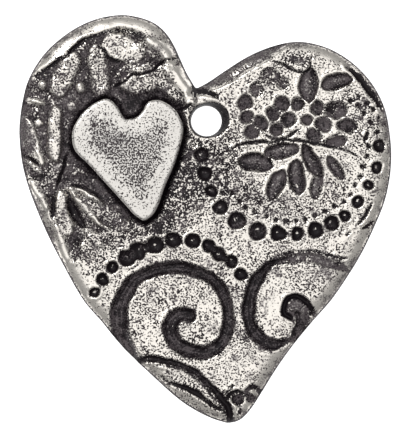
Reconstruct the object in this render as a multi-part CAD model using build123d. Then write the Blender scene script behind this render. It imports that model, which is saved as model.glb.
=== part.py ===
from build123d import *

import os

# Heart-shaped cast pewter pendant: a stamped heart with a hanging hole, and a plain little heart set into its face.
#
# Frame: origin on the axis of the hanging hole, in the plane of the flat back. +Z is out of the decorated face, and
# +Y points from the hole towards the cleft between the two lobes. All sizes are in millimetres.

# Driving dimensions
BODY_THICKNESS = 2.4  # back to the general level of the face
RIM_RADIUS = 0.85  # rounding of the outline at the face
BACK_RADIUS = 0.35  # rounding of the outline at the back
HOLE_RADIUS = 1.25  # hanging hole
MOUTH_RADIUS = 1.6  # worn, flared mouth of the hole at the face
MOUTH_DEPTH = 1.0
MOUTH_OFFSET = (0.3, 0.05)  # the mouth is pulled over to the right
FIELD_DEPTH = 0.35  # leafy field around the little heart, below the face
SEAT_DEPTH = 0.6  # pocket that the little heart sits in, below the face
SEAT_SCALE = 1.03  # the pocket against the little heart, which leaves about 0.1 all round
LITTLE_HEART_HEIGHT = 1.1  # how far the little heart stands above the face
LITTLE_HEART_RADIUS = 0.45  # rounding of its upper edge
PIT_DEPTH = 0.42  # round punch marks
LEAF_DEPTH = 0.38  # pressed leaves
SCROLL_WIDTH, LINE_WIDTH, CRACK_WIDTH = 1.1, 0.5, 0.22

# Outline of the pendant: left half from the cleft to the foot, then right half back up to the cleft
CLEFT, FOOT = (-0.9, 2.8), (2.0, -25.95)
LEFT_SIDE = [CLEFT, (-1.9, 4.6), (-2.95, 6.75), (-4.6, 8.45), (-7.4, 9.1), (-11.0, 8.1), (-13.9, 5.9),
             (-15.7, 2.4), (-16.1, -1.0), (-15.5, -5.2), (-13.4, -10.2), (-10.6, -15.3), (-7.2, -19.5),
             (-2.8, -23.6), (0.3, -25.5), FOOT]
RIGHT_SIDE = [FOOT, (3.4, -25.3), (4.6, -23.6), (7.3, -19.5), (10.8, -15.4), (13.9, -10.2), (15.5, -5.9),
              (15.85, -2.5), (15.4, 1.0), (13.5, 4.1), (10.7, 6.05), (8.0, 6.65), (5.3, 6.1), (2.3, 4.6), CLEFT]

# Outline of the little heart: left and right halves, from its notch to its foot
NOTCH, LITTLE_FOOT, LITTLE_MIDDLE = (-6.65, 0.1), (-5.35, -8.65), (-6.5, -3.0)
LITTLE_LEFT = [NOTCH, (-7.15, 0.85), (-8.5, 1.8), (-10.3, 1.0), (-11.4, -1.0), (-11.0, -2.9), (-8.6, -5.4),
               (-6.5, -7.9), LITTLE_FOOT]
LITTLE_RIGHT = [LITTLE_FOOT, (-4.4, -7.7), (-3.1, -4.9), (-2.1, -2.2), (-2.15, 0.1), (-3.3, 1.5), (-4.4, 1.7),
                (-5.4, 1.0), NOTCH]

# Leafy field on the left lobe, sunk below the face
FIELD = [(-14.9, 3.0), (-12.6, 5.3), (-9.5, 7.4), (-6.8, 8.0), (-3.6, 5.9), (-1.8, 2.6), (-1.6, -1.5), (-3.2, -6.5),
         (-5.2, -9.3), (-8.6, -10.6), (-11.6, -11.6), (-13.5, -7.5), (-15.0, -3.0), (-15.2, 0.5)]

# Round pits as (x, y, radius at the face)
PAISLEY_RING = [(-0.4, -2.9, 0.62), (-0.1, -4.6, 0.6), (0.4, -6.15, 0.52), (1.3, -7.5, 0.64), (2.65, -8.6, 0.72),
                (4.4, -9.5, 0.72), (6.1, -9.7, 0.62), (7.75, -9.7, 0.58), (9.35, -9.5, 0.64), (10.7, -8.8, 0.62),
                (11.95, -8.25, 0.5), (13.05, -7.0, 0.55), (13.95, -5.5, 0.46), (14.6, -4.0, 0.5), (14.65, -2.2, 0.55)]
BEAD_ROW = [(-9.55, -14.8, 0.42), (-9.0, -13.6, 0.48), (-8.1, -12.5, 0.5), (-6.9, -11.7, 0.62), (-5.7, -11.0, 0.66),
            (-4.2, -10.6, 0.64), (-2.75, -10.2, 0.64), (-1.05, -10.35, 0.6), (0.25, -10.75, 0.58),
            (1.2, -11.5, 0.58), (2.25, -12.15, 0.54), (3.1, -13.2, 0.56)]
FLOWERS = [(3.4, 1.6, 0.56), (3.5, 0.35, 0.6), (4.7, -0.05, 0.6), (4.0, -1.1, 0.6), (4.45, 2.5, 0.56), (5.6, 3.75, 0.6),
           (7.1, 0.05, 0.66), (6.6, 1.5, 0.58), (7.9, 1.5, 0.5), (5.9, 0.65, 0.55), (6.05, -0.6, 0.55), (8.6, 0.2, 0.5),
           (9.5, 1.1, 0.56), (10.6, 0.95, 0.68), (11.4, 0.9, 0.68), (10.1, -0.3, 0.7), (11.95, -0.4, 0.7),
           (9.25, -1.45, 0.64), (11.2, -1.6, 0.7)]
TIP_DOTS = [(2.6, -23.9, 0.5), (3.55, -23.4, 0.42)]
SCROLL_EYE = (7.8, -16.0, 1.25)

# Pressed leaves as (x, y, length, width, angle in degrees)
PRESSED_LEAVES = [(4.25, -3.75, 3.1, 1.35, -8), (6.6, -2.65, 2.9, 1.3, 15), (9.1, -3.5, 3.0, 1.15, -66),
                  (7.95, -4.9, 3.1, 1.4, -80), (6.1, -5.5, 2.9, 1.25, 62), (11.1, -4.0, 2.6, 1.05, -48),
                  (9.4, -5.9, 2.3, 1.1, 76), (8.6, 2.9, 2.2, 1.1, 96), (9.25, 3.8, 1.8, 1.1, 64),
                  (11.2, 3.1, 2.9, 1.35, 20), (13.9, 2.9, 4.2, 0.75, -48)]
# Raised leaves, stems and berries in the leafy field, the same way
RAISED_LEAVES = [(-11.9, 4.1, 3.2, 1.4, 60), (-9.3, 4.6, 4.2, 1.5, -66), (-7.2, 6.2, 4.6, 2.6, -6),
                 (-4.6, 3.6, 4.4, 1.5, -28), (-13.1, -0.9, 4.6, 1.0, 88), (-14.9, 1.4, 1.6, 0.6, -8),
                 (-14.7, -1.9, 2.6, 0.9, -62), (-14.2, -4.6, 1.8, 0.7, -40), (-12.4, -7.9, 3.8, 1.1, -84),
                 (-10.4, -7.6, 4.4, 1.2, -38), (-9.5, -9.2, 3.2, 0.9, -30)]
BERRIES = [(-14.0, 3.05, 0.42), (-10.8, 2.9, 0.5), (-11.6, 1.1, 0.5), (-14.5, -0.25, 0.34)]

# Centre lines of the pressed scrolls, lines and cracks
LEFT_SCROLL = [(-7.2, -20.0), (-7.65, -17.6), (-7.0, -14.9), (-5.2, -13.1), (-2.6, -12.55), (0.3, -13.4), (1.9, -15.8),
               (1.75, -18.2), (0.1, -19.9), (-2.0, -19.8), (-3.35, -18.4), (-3.0, -16.9), (-1.7, -16.8)]
RIGHT_SCROLL = [(12.4, -13.0), (10.5, -11.9), (8.3, -11.55), (5.9, -12.0), (4.2, -13.6), (3.5, -15.9), (4.1, -18.1),
                (5.8, -19.3), (7.4, -18.9), (8.5, -17.5)]
FOOT_LEAF_EDGE = [(-7.0, -20.4), (-4.2, -20.5), (-1.8, -21.3), (0.3, -22.75), (1.7, -24.4), (2.5, -26.8)]
FOOT_LEAF_VEIN = [(-4.2, -21.9), (-2.5, -22.7), (-0.6, -23.4), (1.2, -24.8)]
STEM = [(0.4, -3.0), (2.6, -2.35), (4.6, -1.8), (6.3, -1.95), (7.9, -1.75), (10.0, -2.1), (11.8, -2.55), (12.9, -3.2)]
LEAF_ARC = [(5.6, 5.35), (7.2, 4.5), (8.5, 4.15), (9.0, 4.7), (9.2, 6.0)]
FLOWER_ARC = [(4.9, -1.05), (6.0, -1.45), (7.2, -1.25), (8.0, -0.85)]


def heart_face(left, right):
    """A flat heart: one smooth closed curve down its left side and back up its right side."""
    return make_face(Spline(*left[:-1], *right[:-1], periodic=True))


def enlarged(points):
    """The little heart's outline points moved out from its middle by the size of its pocket."""
    middle_x, middle_y = LITTLE_MIDDLE
    return [(middle_x + SEAT_SCALE * (x - middle_x), middle_y + SEAT_SCALE * (y - middle_y)) for x, y in points]


def pit(x, y, radius, depth=PIT_DEPTH):
    """A ball that leaves a round dish of this radius and depth in the face."""
    ball = (radius**2 + depth**2) / (2 * depth)
    return Pos(x, y, BODY_THICKNESS - depth + ball) * Sphere(ball)


def leaf(x, y, length, width, angle, low, high):
    """An upright leaf-shaped block: two arcs meeting in points, between two heights."""
    tip, side = length / 2, width / 2
    edges = [ThreePointArc((-tip, 0), (0, s), (tip, 0)) for s in (side, -side)]
    return Pos(x, y, low) * Rot(0, 0, angle) * extrude(make_face(edges), high - low)


def groove(points, width):
    """A round-bottomed channel of this width, pressed half its width deep along a line."""
    path = Spline(*[(x, y, BODY_THICKNESS) for x, y in points])
    start = Plane(path @ 0, z_dir=path % 0)
    return sweep(start * Circle(width / 2), path)


def hanging_hole():
    """The straight hole with its flared mouth, as the block to cut away."""
    bore = extrude(Circle(HOLE_RADIUS), BODY_THICKNESS)
    mouth = loft([Pos(0, 0, BODY_THICKNESS - MOUTH_DEPTH) * Circle(HOLE_RADIUS),
                  Pos(*MOUTH_OFFSET, BODY_THICKNESS) * Circle(MOUTH_RADIUS)])
    return bore + mouth


def pendant_body():
    """The heart-shaped casting with everything pressed into its face."""
    slab = extrude(heart_face(LEFT_SIDE, RIGHT_SIDE), BODY_THICKNESS)
    slab = fillet(slab.faces().sort_by(Axis.Z)[-1].outer_wire().edges(), RIM_RADIUS)
    slab = fillet(slab.faces().sort_by(Axis.Z)[0].outer_wire().edges(), BACK_RADIUS)

    field_level = BODY_THICKNESS - FIELD_DEPTH
    field = Pos(0, 0, field_level) * extrude(make_face(Spline(*FIELD, periodic=True)), FIELD_DEPTH)
    grown = [leaf(*shape, field_level, BODY_THICKNESS) for shape in RAISED_LEAVES]
    grown += [Pos(x, y, field_level) * Sphere(radius) for x, y, radius in BERRIES]
    for block in grown:
        field -= block
    slab -= field

    seat = heart_face(enlarged(LITTLE_LEFT), enlarged(LITTLE_RIGHT))
    slab -= Pos(0, 0, BODY_THICKNESS - SEAT_DEPTH) * extrude(seat, SEAT_DEPTH)
    slab -= hanging_hole()
    for line in (LEFT_SCROLL, RIGHT_SCROLL):
        slab -= groove(line, SCROLL_WIDTH)
    for line in (FOOT_LEAF_EDGE, FOOT_LEAF_VEIN, FLOWER_ARC, LEAF_ARC):
        slab -= groove(line, LINE_WIDTH)
    slab -= groove(STEM, CRACK_WIDTH)
    for x, y, radius in PAISLEY_RING + BEAD_ROW + FLOWERS + TIP_DOTS + [SCROLL_EYE]:
        slab -= pit(x, y, radius)
    for shape in PRESSED_LEAVES:
        slab -= leaf(*shape, BODY_THICKNESS - LEAF_DEPTH, BODY_THICKNESS)
    return slab


def little_heart():
    """The plain raised heart, which stands in its seat in the pendant's face."""
    seat_level = BODY_THICKNESS - SEAT_DEPTH
    height = SEAT_DEPTH + LITTLE_HEART_HEIGHT
    block = Pos(0, 0, seat_level) * extrude(heart_face(LITTLE_LEFT, LITTLE_RIGHT), height)
    return fillet(block.faces().sort_by(Axis.Z)[-1].outer_wire().edges(), LITTLE_HEART_RADIUS)


os.makedirs("parts", exist_ok=True)
export_step(pendant_body(), "parts/pendant_body.step")
export_step(little_heart(), "parts/little_heart.step")
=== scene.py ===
import math

import bmesh
import bpy
import numpy as np
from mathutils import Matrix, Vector, geometry, kdtree


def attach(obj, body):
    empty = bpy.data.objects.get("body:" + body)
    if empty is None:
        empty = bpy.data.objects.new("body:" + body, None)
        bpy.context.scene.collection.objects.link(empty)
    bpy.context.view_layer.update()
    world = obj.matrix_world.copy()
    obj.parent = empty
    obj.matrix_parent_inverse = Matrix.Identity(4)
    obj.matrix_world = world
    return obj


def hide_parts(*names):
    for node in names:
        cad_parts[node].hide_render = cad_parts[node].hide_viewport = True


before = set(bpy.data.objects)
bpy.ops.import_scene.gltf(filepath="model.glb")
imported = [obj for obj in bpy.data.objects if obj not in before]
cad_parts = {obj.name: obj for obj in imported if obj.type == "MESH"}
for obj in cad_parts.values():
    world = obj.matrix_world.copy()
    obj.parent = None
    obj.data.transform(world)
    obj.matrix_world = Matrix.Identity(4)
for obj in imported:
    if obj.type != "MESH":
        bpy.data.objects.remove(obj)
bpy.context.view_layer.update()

# A heart-shaped cast pewter pendant, lying on its back on a lit white table and seen from straight above.
# The relief is worked out in millimetres about the hanging hole, on one fine grid that covers the pendant,
# and becomes a closed mesh in metres. Two values go with every point of it: "patina", how much of the dark
# oxide is left there, and "film", how grey the bare metal has gone. In places both are also used for
# painted shade and painted highlights.

MM = 0.001
GRID = 0.1  # spacing of the relief grid
LINE_STEP = 0.1  # spacing of points along a curve
BODY_STEP, LITTLE_STEP, FIELD_STEP = 0.14, 0.12, 0.05  # and round the two hearts and the leafy field
BACK_STEPS = 5  # the plain underside takes only every fifth grid line
RNG = np.random.default_rng(7)

# Sizes of the casting
FACE = 2.4  # height of the face above the back
RIM_WIDTH, RIM_DROP = 1.8, 0.9  # rounding of the face's edge
BACK_ROUND = 0.35  # rounding of the back's edge
FIELD_DEPTH = 0.3  # leafy field round the little heart, below the face
SEAT_DEPTH = 0.6  # pocket under the little heart
LITTLE_TOP = 1.1  # top of the little heart above the face
LITTLE_RIM_WIDTH, LITTLE_RIM_DROP = 0.28, 0.22
LITTLE_BACK_ROUND = 0.06
WAVER = 0.045  # how far marks are shifted at random
HOLE_RADIUS = 1.32
MOUTH_WEAR, MOUTH_FLARE = 0.1, 0.48  # the hole's mouth: wider all round, and wider still to the right
MOUTH_TURN = 0.2  # direction of the flare, in radians
HOLE_POINTS = 96
RIM_SHARES = (0.42, 0.28, 0.18, 0.11, 0.06, 0.02)  # insets of the rings down the rim, over its width

# Pairs of colours: metal that is bare and under its film, oxide that is thick and thin, and the table
BODY_METAL = (0.68, 0.645, 0.595, 1), (0.2, 0.185, 0.18, 1)
LITTLE_METAL = (0.56, 0.54, 0.51, 1), (0.24, 0.235, 0.23, 1)
OXIDE = (0.008, 0.0055, 0.007, 1), (0.088, 0.074, 0.078, 1)
TABLE = (0.88, 0.88, 0.88, 1), (0.92, 0.92, 0.92, 1)

# Specks of patina
BODY_GRAIN, LITTLE_GRAIN = 7000.0, 7400.0  # scale of the finest specks
CLUMP_SCALE, CLUMP_SHARE = 0.28, 0.12  # scale of the clumps over that of the specks, and their share
SPECK_CONTRAST = 8.5
BUMP_HEIGHT = 0.00005

# Places on the table, in metres
MIDDLE = (0, -0.008, 0)
FLOOR_SIZE, FLOOR_GAP = 0.6, 0.00002
CAMERA_X, CAMERA_Y = 0.00014, -0.00845
VIEW_HEIGHT = 0.0375  # what the camera takes in, across the longer side of the picture
FOCAL_LENGTH = 200  # millimetres of lens

GRID_X = np.arange(-168, 168) * GRID
GRID_Y = np.arange(-268, 100) * GRID
X, Y = np.meshgrid(GRID_X, GRID_Y)
EVERYWHERE = (slice(None), slice(None))

# Outlines, from the notch at the top down the left side, and from the foot up the right side
LEFT_SIDE = [(-0.9, 2.75), (-1.7, 4.1), (-2.2, 5.2), (-2.75, 6.4), (-3.4, 7.45), (-4.4, 8.35), (-5.8, 8.9),
             (-7.4, 9.1), (-9.3, 8.8), (-11.0, 8.1), (-12.5, 7.1), (-13.8, 5.9), (-14.8, 4.5), (-15.5, 3.0),
             (-15.95, 1.0), (-16.1, -1.0), (-15.9, -3.3), (-15.4, -5.4), (-14.6, -7.6), (-13.5, -10.1),
             (-12.2, -12.6), (-10.6, -15.4), (-8.9, -17.4), (-7.2, -19.5), (-5.1, -21.5), (-2.8, -23.6),
             (-1.2, -24.75), (0.5, -25.6), (2.0, -26.05)]
RIGHT_SIDE = [(2.0, -26.05), (3.0, -25.65), (3.8, -24.8), (4.6, -23.6), (5.9, -21.5), (7.3, -19.5),
              (9.0, -17.4), (10.75, -15.4), (12.2, -13.3), (13.4, -11.3), (14.5, -9.0), (15.3, -7.0),
              (15.75, -5.0), (15.9, -3.0), (15.75, -1.0), (15.35, 1.0), (14.5, 2.8), (13.4, 4.2),
              (12.0, 5.4), (10.2, 6.35), (8.0, 6.8), (5.8, 6.45), (3.6, 5.55), (1.6, 4.3), (0.2, 3.35),
              (-0.9, 2.75)]
LITTLE_LEFT = [(-6.45, 0.08), (-6.9, 0.06), (-7.12, 0.3), (-7.42, 0.85), (-7.8, 1.4), (-8.2, 1.72),
               (-8.7, 1.8), (-9.6, 1.4), (-10.5, 0.65), (-11.1, -0.2), (-11.45, -1.1), (-11.35, -2.3),
               (-10.9, -3.0), (-10.0, -3.85), (-8.6, -5.4), (-7.1, -7.05), (-6.1, -8.15), (-5.3, -8.65)]
LITTLE_RIGHT = [(-5.3, -8.65), (-4.6, -8.15), (-4.1, -7.3), (-3.5, -5.6), (-2.8, -4.0), (-2.3, -2.5),
                (-2.0, -1.2), (-2.05, -0.3), (-2.5, 0.65), (-3.2, 1.3), (-4.0, 1.68), (-4.7, 1.65),
                (-5.15, 1.35), (-5.38, 0.85), (-5.65, 0.5), (-6.0, 0.2), (-6.45, 0.08)]

# Round punch marks: x, y, radius
PAISLEY_RING = [(-0.4, -2.9, 0.62), (-0.15, -4.6, 0.6), (0.4, -6.1, 0.52), (1.25, -7.45, 0.64),
                (2.65, -8.6, 0.74), (4.4, -9.5, 0.74), (6.1, -9.7, 0.62), (7.7, -9.7, 0.56),
                (9.3, -9.5, 0.66), (10.7, -8.8, 0.62), (11.9, -8.2, 0.5), (13.0, -6.95, 0.52),
                (13.95, -5.5, 0.44), (14.6, -4.0, 0.5), (14.7, -2.2, 0.55)]
BEAD_ROW = [(-9.5, -14.8, 0.45), (-8.95, -13.65, 0.52), (-8.1, -12.55, 0.52), (-6.85, -11.75, 0.74),
            (-5.85, -11.1, 0.8), (-4.4, -10.6, 0.76), (-2.8, -10.25, 0.72), (-1.15, -10.3, 0.67),
            (0.2, -10.75, 0.62), (1.1, -11.5, 0.62), (2.15, -12.1, 0.56), (3.0, -13.15, 0.58)]
MERGED_BEADS = [(-6.35, -11.4, 0.6), (-5.1, -10.85, 0.5), (0.65, -11.1, 0.4), (1.6, -11.8, 0.35)]
FLOWER_PETALS = [(3.35, 1.55, 0.64), (3.55, 0.25, 0.62), (4.65, -0.2, 0.64), (3.9, -1.05, 0.64),
                 (6.55, 1.48, 0.6), (7.8, 1.48, 0.53), (5.8, 0.66, 0.58), (7.07, 0.12, 0.69),
                 (6.0, -0.65, 0.6), (9.47, 1.05, 0.6), (8.6, 0.05, 0.5), (9.2, -1.45, 0.68)]
# Wider petals: x, y, radius, how much longer than wide, angle in degrees
WIDE_PETALS = [(11.05, 0.85, 0.8, 1.3, 5), (10.05, -0.3, 0.66, 1.15, -20), (12.05, -0.5, 0.62, 1.45, -10),
               (11.1, -1.85, 0.5, 1.8, 5)]
FAINT_PETALS = [(5.5, 3.7, 0.85), (6.5, 3.2, 0.6), (4.35, 2.6, 0.66)]
INNER_DOTS = [(1.3, -6.2), (2.2, -6.3), (2.9, -6.9), (3.4, -7.4), (4.2, -7.8), (5.2, -8.2), (6.0, -8.6),
              (6.8, -8.6), (7.7, -8.6), (8.5, -8.5), (9.4, -8.2), (10.2, -7.8), (11.0, -7.4), (11.8, -6.9),
              (12.3, -6.3), (12.8, -5.5), (13.2, -4.8), (13.4, -4.0), (13.7, -3.1), (13.8, -2.2),
              (12.3, 1.6), (13.0, 2.0), (13.0, 1.2), (13.8, 1.5), (14.3, 1.0), (13.5, 0.6), (14.1, -0.1),
              (14.8, 0.3), (15.2, -0.4), (14.6, -1.0)]

# Pressed leaves of the sprig: x, y, half length, half width, angle in degrees, depth
SPRIG = [(4.23, -3.7, 1.5, 0.85, -7, 0.4), (6.45, -2.65, 1.5, 0.72, 12, 0.32),
         (6.1, -5.55, 1.4, 0.74, 66, 0.4), (7.85, -4.85, 1.5, 0.76, 95, 0.42),
         (9.1, -3.45, 1.65, 0.64, 118, 0.4), (9.5, -5.7, 1.15, 0.56, 80, 0.22),
         (11.1, -4.0, 1.2, 0.54, 130, 0.28), (8.85, 3.0, 1.45, 0.88, 84, 0.35),
         (11.15, 3.2, 1.4, 0.74, 15, 0.38)]

# Scrolls and lines
LEFT_SCROLL = [(-6.7, -20.2), (-7.2, -18.8), (-7.45, -17.5), (-7.4, -16.0), (-6.95, -14.8), (-6.2, -13.75),
               (-5.0, -13.05), (-3.5, -12.65), (-2.2, -12.65), (-0.6, -13.05), (0.6, -13.75), (1.4, -14.9),
               (1.8, -16.2), (1.85, -17.5), (1.45, -18.7), (0.7, -19.5), (-0.5, -19.9), (-1.7, -19.65),
               (-2.6, -19.1), (-3.15, -18.2), (-3.1, -17.35), (-2.6, -16.8), (-2.0, -16.6), (-1.5, -16.75)]
RIGHT_SCROLL = [(6.9, -11.7), (6.1, -11.95), (5.1, -12.6), (4.3, -13.6), (3.8, -14.8), (3.65, -16.2),
                (3.85, -17.5), (4.5, -18.5), (5.4, -19.1), (6.4, -19.15), (7.3, -18.75), (8.3, -17.9)]
RIGHT_SCROLL_TOP = [(13.2, -13.6), (12.2, -12.9), (11.2, -12.3), (9.8, -11.95), (8.2, -11.75), (6.6, -12.0),
                    (5.2, -12.8)]
RIGHT_SCROLL_EDGE = [(12.6, -12.5), (11.2, -11.75), (9.8, -11.35), (8.2, -11.15), (6.6, -11.4),
                     (5.4, -11.95)]
SCROLL_EYE = (7.87, -16.2, 1.3)  # x, y, radius
FOOT_LEAF_EDGE = [(-6.3, -20.5), (-4.5, -20.4), (-3.0, -20.7), (-1.8, -21.2), (-0.5, -22.0), (0.5, -22.9),
                  (1.3, -23.8), (1.85, -24.8), (2.2, -26.2)]
FOOT_LEAF_LINE = [(-5.4, -20.9), (-4.0, -20.9), (-2.5, -21.25), (-1.2, -21.95), (-0.1, -22.85),
                  (0.8, -23.85), (1.4, -24.9)]
FOOT_NICKS = [(3.87, -22.7), (4.2, -22.8), (2.2, -22.75), (1.9, -23.1), (1.6, -23.25), (3.2, -25.4)]
FOOT_LEAF_VEIN = [(-4.2, -21.9), (-3.0, -22.5), (-1.5, -23.1), (-0.5, -23.6), (0.5, -24.3), (1.6, -25.1)]
VINE = [(0.5, -3.0), (1.5, -2.8), (3.0, -2.1), (4.7, -1.8), (5.5, -1.95), (6.5, -1.65), (8.0, -1.75),
        (9.5, -2.05), (10.5, -2.2), (12.0, -2.55), (13.0, -3.15), (13.7, -3.9)]

# Small creases on the right lobe: points, width, depth, patina, ends, width of the wall, and perhaps the lip
LOBE_CREASES = [
    ([(4.9, -1.0), (5.6, -1.5), (6.5, -1.5), (7.5, -1.1), (8.1, -0.7)], 0.26, 0.2, 1.3, "fade", 0.1),
    ([(10.2, -1.4), (11.6, -1.2), (13.0, -1.0)], 0.15, 0.12, 1.3, "fade", 0.08),
    ([(3.8, 2.8), (4.5, 3.15), (5.2, 3.2)], 0.15, 0.1, 1.2, "fade", 0.08),
    ([(5.4, 5.4), (6.5, 4.8), (7.5, 4.3), (8.4, 4.15), (8.9, 4.5), (9.05, 5.2), (9.3, 6.1)], 0.2, 0.2, 1.5,
     "fade", 0.1),
    ([(11.9, 4.7), (13.0, 3.8), (14.1, 2.4), (15.1, 0.8)], 0.65, 0.3, 1.9, "leaf", 0.12, 0.1),
    ([(13.4, -1.8), (13.6, -1.3), (13.9, -0.8)], 0.25, 0.15, 1.6, "leaf", 0.08),
    ([(12.9, -9.0), (13.6, -8.2), (14.2, -7.0)], 0.25, 0.15, 1.6, "leaf", 0.1),
    ([(13.3, -9.25), (13.9, -9.0), (14.4, -8.5)], 0.45, 0.2, 1.7, "leaf", 0.1),
    ([(12.0, -9.7), (12.3, -9.5)], 0.2, 0.1, 1.5, "round", 0.1)
]

# Leafy field on the left lobe: its outline, its berries (x, y, radius, height, patina), its raised leaves
# and stems (points, width, height, patina, film, and the ends unless pointed), and the creases pressed into
# it (points, width, depth, patina, ends, width of the wall, and perhaps the lip)
LEAFY_FIELD = [(-15.8, 2.6), (-14.7, 3.8), (-13.4, 4.7), (-12.2, 5.5), (-11.2, 6.5), (-10.3, 7.1),
               (-9.2, 7.45), (-8.3, 7.8), (-7.0, 8.0), (-5.6, 7.6), (-4.9, 6.6), (-3.6, 5.4), (-3.4, 4.0),
               (-2.0, 2.4), (-1.9, 1.2), (-2.6, -0.5), (-3.6, -3.0), (-4.6, -5.5), (-6.0, -8.0),
               (-7.6, -9.0), (-9.2, -9.6), (-10.2, -9.8), (-11.2, -11.0), (-11.8, -11.6), (-12.6, -9.2),
               (-13.6, -7.2), (-14.9, -5.4), (-16.0, -3.0), (-16.4, 0.0)]
BERRIES = [(-14.0, 3.1, 0.42, 0.3, -0.3), (-14.4, -0.25, 0.4, 0.3, -0.3), (-10.75, 2.75, 0.52, 0.32, -0.1),
           (-11.55, 1.15, 0.5, 0.2, 0.55)]
FIELD_LEAVES = [
    ([(-12.9, 2.0), (-12.4, 3.4), (-11.8, 4.6), (-11.2, 5.8)], 2.2, 0.35, 0.58, 0.3, "oval"),
    ([(-9.6, 6.7), (-9.4, 5.2), (-9.1, 3.6), (-8.8, 1.7)], 2.0, 0.35, 0.45, 0.45, "oval"),
    ([(-5.9, 6.7), (-4.8, 6.3), (-3.8, 5.8), (-2.9, 5.3)], 2.0, 0.25, 0.42, 0.4, "oval"),
    ([(-9.0, 6.7), (-7.8, 6.4), (-6.6, 5.9), (-5.4, 5.3)], 2.7, 0.35, 0.35, 0.25, "oval"),
    ([(-8.0, 3.6), (-7.0, 4.4), (-5.6, 4.6), (-4.4, 5.0)], 1.1, 0.2, 0.95, 0.5),
    ([(-7.4, 2.9), (-5.4, 3.4), (-3.6, 3.5), (-1.0, 1.4)], 2.6, 0.28, 0.5, 0.3, "oval"),
    ([(-3.6, 5.0), (-2.5, 4.3), (-1.6, 2.9), (-1.1, 2.2)], 1.1, 0.12, -0.3, 0),
    ([(-15.6, 1.8), (-14.8, 1.65), (-13.8, 1.45)], 0.75, 0.3, -0.2, 0.1),
    ([(-13.0, 1.4), (-13.0, 0), (-13.0, -2.0), (-12.9, -3.6)], 1.6, 0.38, 0.5, 0.35, "oval"),
    ([(-15.8, 0.4), (-15.3, -1.2), (-14.6, -2.6), (-13.9, -3.9)], 1.7, 0.26, 0.9, 0.6, "oval"),
    ([(-15.8, 0.3), (-15.0, -0.3), (-14.5, -1.6), (-14.1, -3.4)], 0.35, 0.16, 0, 0),
    ([(-14.5, -2.6), (-14.2, -3.2), (-13.9, -3.7)], 0.7, 0.12, 0, 0),
    ([(-15.9, -3.1), (-15.0, -3.9), (-14.1, -4.6)], 0.6, 0.25, 0.1, 0.2),
    ([(-15.1, -5.1), (-14.4, -6.2), (-13.6, -7.8)], 1.3, 0.22, 0.5, 0.4, "oval"),
    ([(-12.5, -5.9), (-12.3, -7.6), (-11.7, -10.0)], 1.5, 0.32, 0.5, 0.4, "oval"),
    ([(-12.2, -5.8), (-10.6, -6.1), (-8.8, -7.2)], 0.85, 0.3, 0.35, 0.2),
    ([(-11.8, -5.9), (-10.6, -7.3), (-9.6, -8.4), (-8.2, -9.5)], 0.9, 0.3, 0.05, 0),
    ([(-10.8, -6.6), (-9.6, -7.2), (-8.2, -8.2), (-6.4, -9.3)], 1.6, 0.14, 0.65, 0.5, "oval"),
    ([(-11.6, -4.9), (-10.9, -4.3), (-10.2, -4.8)], 0.9, 0.16, 0.5, 0.3),
    ([(-12.9, -8.9), (-12.4, -10.4), (-11.9, -12.2)], 1.3, 0.15, -0.1, 0, "oval"),
    ([(-10.6, -9.2), (-9.8, -9.8), (-8.9, -10.8)], 1.3, 0.12, 0.4, 0.1)
]
FIELD_CREASES = [
    ([(-15.3, 2.9), (-14.7, 3.75), (-13.4, 4.65), (-12.2, 5.4), (-11.2, 6.4), (-10.3, 7.05), (-9.2, 7.4),
      (-8.4, 7.7)], 0.35, 0.22, 1.3, "fade", 0.2, 0.03),
    ([(-8.4, 7.6), (-7.2, 7.75), (-5.8, 7.45)], 0.5, 0.16, 0.7, "leaf", 0.3, 0.02),
    ([(-9.7, 6.5), (-9.0, 6.3), (-8.6, 5.7), (-8.0, 5.15), (-7.0, 4.95)], 0.22, 0.2, 1.5, "fade", 0.1),
    ([(-7.7, 2.95), (-7.0, 3.4), (-6.4, 3.85), (-5.6, 3.9), (-4.8, 4.2), (-4.2, 4.6), (-3.6, 5.05),
      (-2.9, 5.3), (-2.3, 5.7)], 0.16, 0.3, 1.8, "round", 0.1),
    ([(-5.5, 6.7), (-5.6, 6.0), (-5.3, 5.3)], 0.5, 0.15, 0.95, "leaf", 0.3, 0.0),
    ([(-2.7, 4.7), (-2.4, 5.0)], 0.2, 0.15, 1.4, "round", 0.1),
    ([(-2.3, 0.8), (-1.7, 1.0), (-1.3, 1.4)], 0.2, 0.2, 1.6, "round", 0.1),
    ([(-11.75, -2.6), (-12.1, -3.4), (-12.2, -4.0), (-12.6, -4.9), (-12.9, -6.0)], 0.3, 0.3, 1.9, "fade",
     0.12),
    ([(-13.0, -6.2), (-13.1, -7.4), (-13.2, -8.8)], 0.45, 0.22, 1.1, "fade", 0.3),
    ([(-11.9, -5.4), (-10.6, -5.8), (-9.6, -6.3), (-8.9, -6.9)], 0.25, 0.2, 1.6, "fade", 0.1),
    ([(-11.9, -6.7), (-11.2, -8.0), (-10.4, -9.3)], 0.95, 0.3, 1.15, "leaf", 0.3),
    ([(-15.7, -3.0), (-15.0, -3.4), (-14.2, -3.9)], 0.3, 0.25, 1.5, "leaf", 0.1),
    ([(-15.3, -5.0), (-14.5, -4.9), (-13.6, -4.8)], 0.18, 0.15, 1.3, "fade", 0.1),
    ([(-10.9, -10.2), (-11.1, -11.2), (-11.4, -12.2)], 1.0, 0.12, 0.85, "leaf", 0.3, 0.0)
]
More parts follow.
